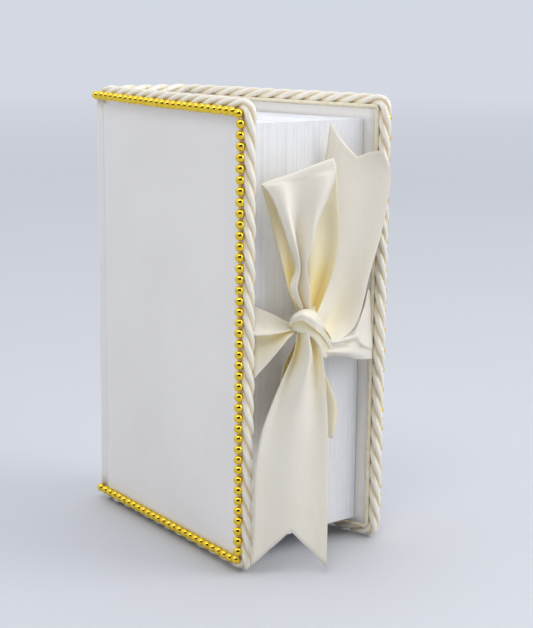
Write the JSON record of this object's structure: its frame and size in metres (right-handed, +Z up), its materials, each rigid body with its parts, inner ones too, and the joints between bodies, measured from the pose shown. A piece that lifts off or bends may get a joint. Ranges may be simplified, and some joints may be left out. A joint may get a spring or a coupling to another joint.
{
  "type": "prayer book",
  "caption": "Small cloth-covered prayer book standing ajar, edged with ivory rope and gilt beads and tied shut with a satin ribbon bow.",
  "frame": {"origin": "middle of the footprint of the standing book, bow included, on the surface that it stands on", "axes": "+Z up from tail to head, +Y out of the spine, +X towards the back cover; the fore edge and the bow face -Y"},
  "size_m": [0.0636, 0.1124, 0.1542],
  "materials": {
    "cloth": "matt white book cloth over thin padding",
    "board": "grey bookbinding board",
    "endpaper": "pale grey-white endpaper",
    "paper": "uncoated white book paper",
    "lining": "mull and paper spine lining",
    "headband": "ivory woven headband",
    "rope": "ivory satin three-strand twisted cord",
    "bead": "gilt-coated bead string",
    "ribbon": "ivory satin ribbon"
  },
  "bodies": {
    "spine": {"spine_board": "board", "spine_cloth": "cloth", "spine_lining": "lining", "headband_head": "headband", "headband_tail": "headband", "spine_rope_head": "rope", "spine_rope_tail": "rope", "spine_beads_head": "bead", "spine_beads_tail": "bead"},
    "front_cover": {"front_board": "board", "front_cover_cloth": "cloth", "front_hinge_cloth": "cloth", "front_pastedown": "endpaper", "front_rope": "rope", "front_bead_string": "bead", "front_ribbon_lead": "ribbon"},
    "back_cover": {"back_board": "board", "back_cover_cloth": "cloth", "back_hinge_cloth": "cloth", "back_pastedown": "endpaper", "back_rope": "rope", "back_bead_string": "bead"},
    "bow": {"ribbon_knot": "ribbon", "upper_loop": "ribbon", "lower_loop": "ribbon", "upper_tail": "ribbon", "lower_tail": "ribbon", "back_ribbon_lead": "ribbon"},
    "front_flyleaf": {"front_flyleaf": "endpaper"},
    "back_flyleaf": {"back_flyleaf": "endpaper"},
    "signature_01": {"signature_01": "paper"},
    "signature_02": {"signature_02": "paper"},
    "signature_03": {"signature_03": "paper"},
    "signature_04": {"signature_04": "paper"},
    "signature_05": {"signature_05": "paper"},
    "signature_06": {"signature_06": "paper"},
    "signature_07": {"signature_07": "paper"},
    "signature_08": {"signature_08": "paper"},
    "signature_09": {"signature_09": "paper"},
    "signature_10": {"signature_10": "paper"},
    "signature_11": {"signature_11": "paper"},
    "signature_12": {"signature_12": "paper"}
  },
  "joints": [
    {"name": "front_cover_hinge", "type": "hinge", "parent": "spine", "child": "front_cover", "pos_m": [-0.02883, 0.05325, 0], "axis": [0, 0, -1], "range_deg": [0, 165]},
    {"name": "back_cover_hinge", "type": "hinge", "parent": "spine", "child": "back_cover", "pos_m": [0.00847, 0.05325, 0], "axis": [0, 0, 1], "range_deg": [0, 150]},
    {"name": "bow_swing", "type": "hinge", "parent": "back_cover", "child": "bow", "pos_m": [0.02812, -0.0409, 0], "axis": [0, 0, 1], "range_deg": [0, 90]},
    {"name": "front_flyleaf_fold", "type": "hinge", "parent": "spine", "child": "front_flyleaf", "pos_m": [-0.02493, 0.0485, 0], "axis": [0, 0, -1], "range_deg": [0, 82.6]},
    {"name": "back_flyleaf_fold", "type": "hinge", "parent": "spine", "child": "back_flyleaf", "pos_m": [0.00457, 0.0485, 0], "axis": [0, 0, 1], "range_deg": [0, 60.1]},
    {"name": "signature_01_fold", "type": "hinge", "parent": "spine", "child": "signature_01", "pos_m": [-0.02329, 0.0485, 0], "axis": [0, 0, -1], "range_deg": [0, 69.4]},
    {"name": "signature_02_fold", "type": "hinge", "parent": "spine", "child": "signature_02", "pos_m": [-0.0209, 0.0485, 0], "axis": [0, 0, -1], "range_deg": [0, 60.8]},
    {"name": "signature_03_fold", "type": "hinge", "parent": "spine", "child": "signature_03", "pos_m": [-0.01852, 0.0485, 0], "axis": [0, 0, -1], "range_deg": [0, 52.1]},
    {"name": "signature_04_fold", "type": "hinge", "parent": "spine", "child": "signature_04", "pos_m": [-0.01614, 0.0485, 0], "axis": [0, 0, -1], "range_deg": [0, 43.5]},
    {"name": "signature_05_fold", "type": "hinge", "parent": "spine", "child": "signature_05", "pos_m": [-0.01375, 0.0485, 0], "axis": [0, 0, -1], "range_deg": [0, 34.8]},
    {"name": "signature_06_fold", "type": "hinge", "parent": "spine", "child": "signature_06", "pos_m": [-0.01137, 0.0485, 0], "axis": [0, 0, -1], "range_deg": [0, 26.1]},
    {"name": "signature_07_fold", "type": "hinge", "parent": "spine", "child": "signature_07", "pos_m": [-0.00899, 0.0485, 0], "axis": [0, 0, -1], "range_deg": [0, 17.5]},
    {"name": "signature_08_fold", "type": "hinge", "parent": "spine", "child": "signature_08", "pos_m": [-0.0066, 0.0485, 0], "axis": [0, 0, -1], "range_deg": [0, 8.8]},
    {"name": "signature_09_fold", "type": "hinge", "parent": "spine", "child": "signature_09", "pos_m": [-0.00422, 0.0485, 0], "axis": [0, 0, 1], "range_deg": [0, 10.7]},
    {"name": "signature_10_fold", "type": "hinge", "parent": "spine", "child": "signature_10", "pos_m": [-0.00184, 0.0485, 0], "axis": [0, 0, 1], "range_deg": [0, 21.2]},
    {"name": "signature_11_fold", "type": "hinge", "parent": "spine", "child": "signature_11", "pos_m": [0.00055, 0.0485, 0], "axis": [0, 0, 1], "range_deg": [0, 31.7]},
    {"name": "signature_12_fold", "type": "hinge", "parent": "spine", "child": "signature_12", "pos_m": [0.00293, 0.0485, 0], "axis": [0, 0, 1], "range_deg": [0, 42.2]}
  ],
  "couplings": [
    {"joint": "front_flyleaf_fold", "follows": "front_cover_hinge", "ratio": 0.5},
    {"joint": "back_flyleaf_fold", "follows": "back_cover_hinge", "ratio": 0.4},
    {"joint": "signature_01_fold", "follows": "front_cover_hinge", "ratio": 0.42},
    {"joint": "signature_02_fold", "follows": "front_cover_hinge", "ratio": 0.3675},
    {"joint": "signature_03_fold", "follows": "front_cover_hinge", "ratio": 0.315},
    {"joint": "signature_04_fold", "follows": "front_cover_hinge", "ratio": 0.2625},
    {"joint": "signature_05_fold", "follows": "front_cover_hinge", "ratio": 0.21},
    {"joint": "signature_06_fold", "follows": "front_cover_hinge", "ratio": 0.1575},
    {"joint": "signature_07_fold", "follows": "front_cover_hinge", "ratio": 0.105},
    {"joint": "signature_08_fold", "follows": "front_cover_hinge", "ratio": 0.0525},
    {"joint": "signature_09_fold", "follows": "back_cover_hinge", "ratio": 0.07},
    {"joint": "signature_10_fold", "follows": "back_cover_hinge", "ratio": 0.14},
    {"joint": "signature_11_fold", "follows": "back_cover_hinge", "ratio": 0.21},
    {"joint": "signature_12_fold", "follows": "back_cover_hinge", "ratio": 0.28}
  ]
}
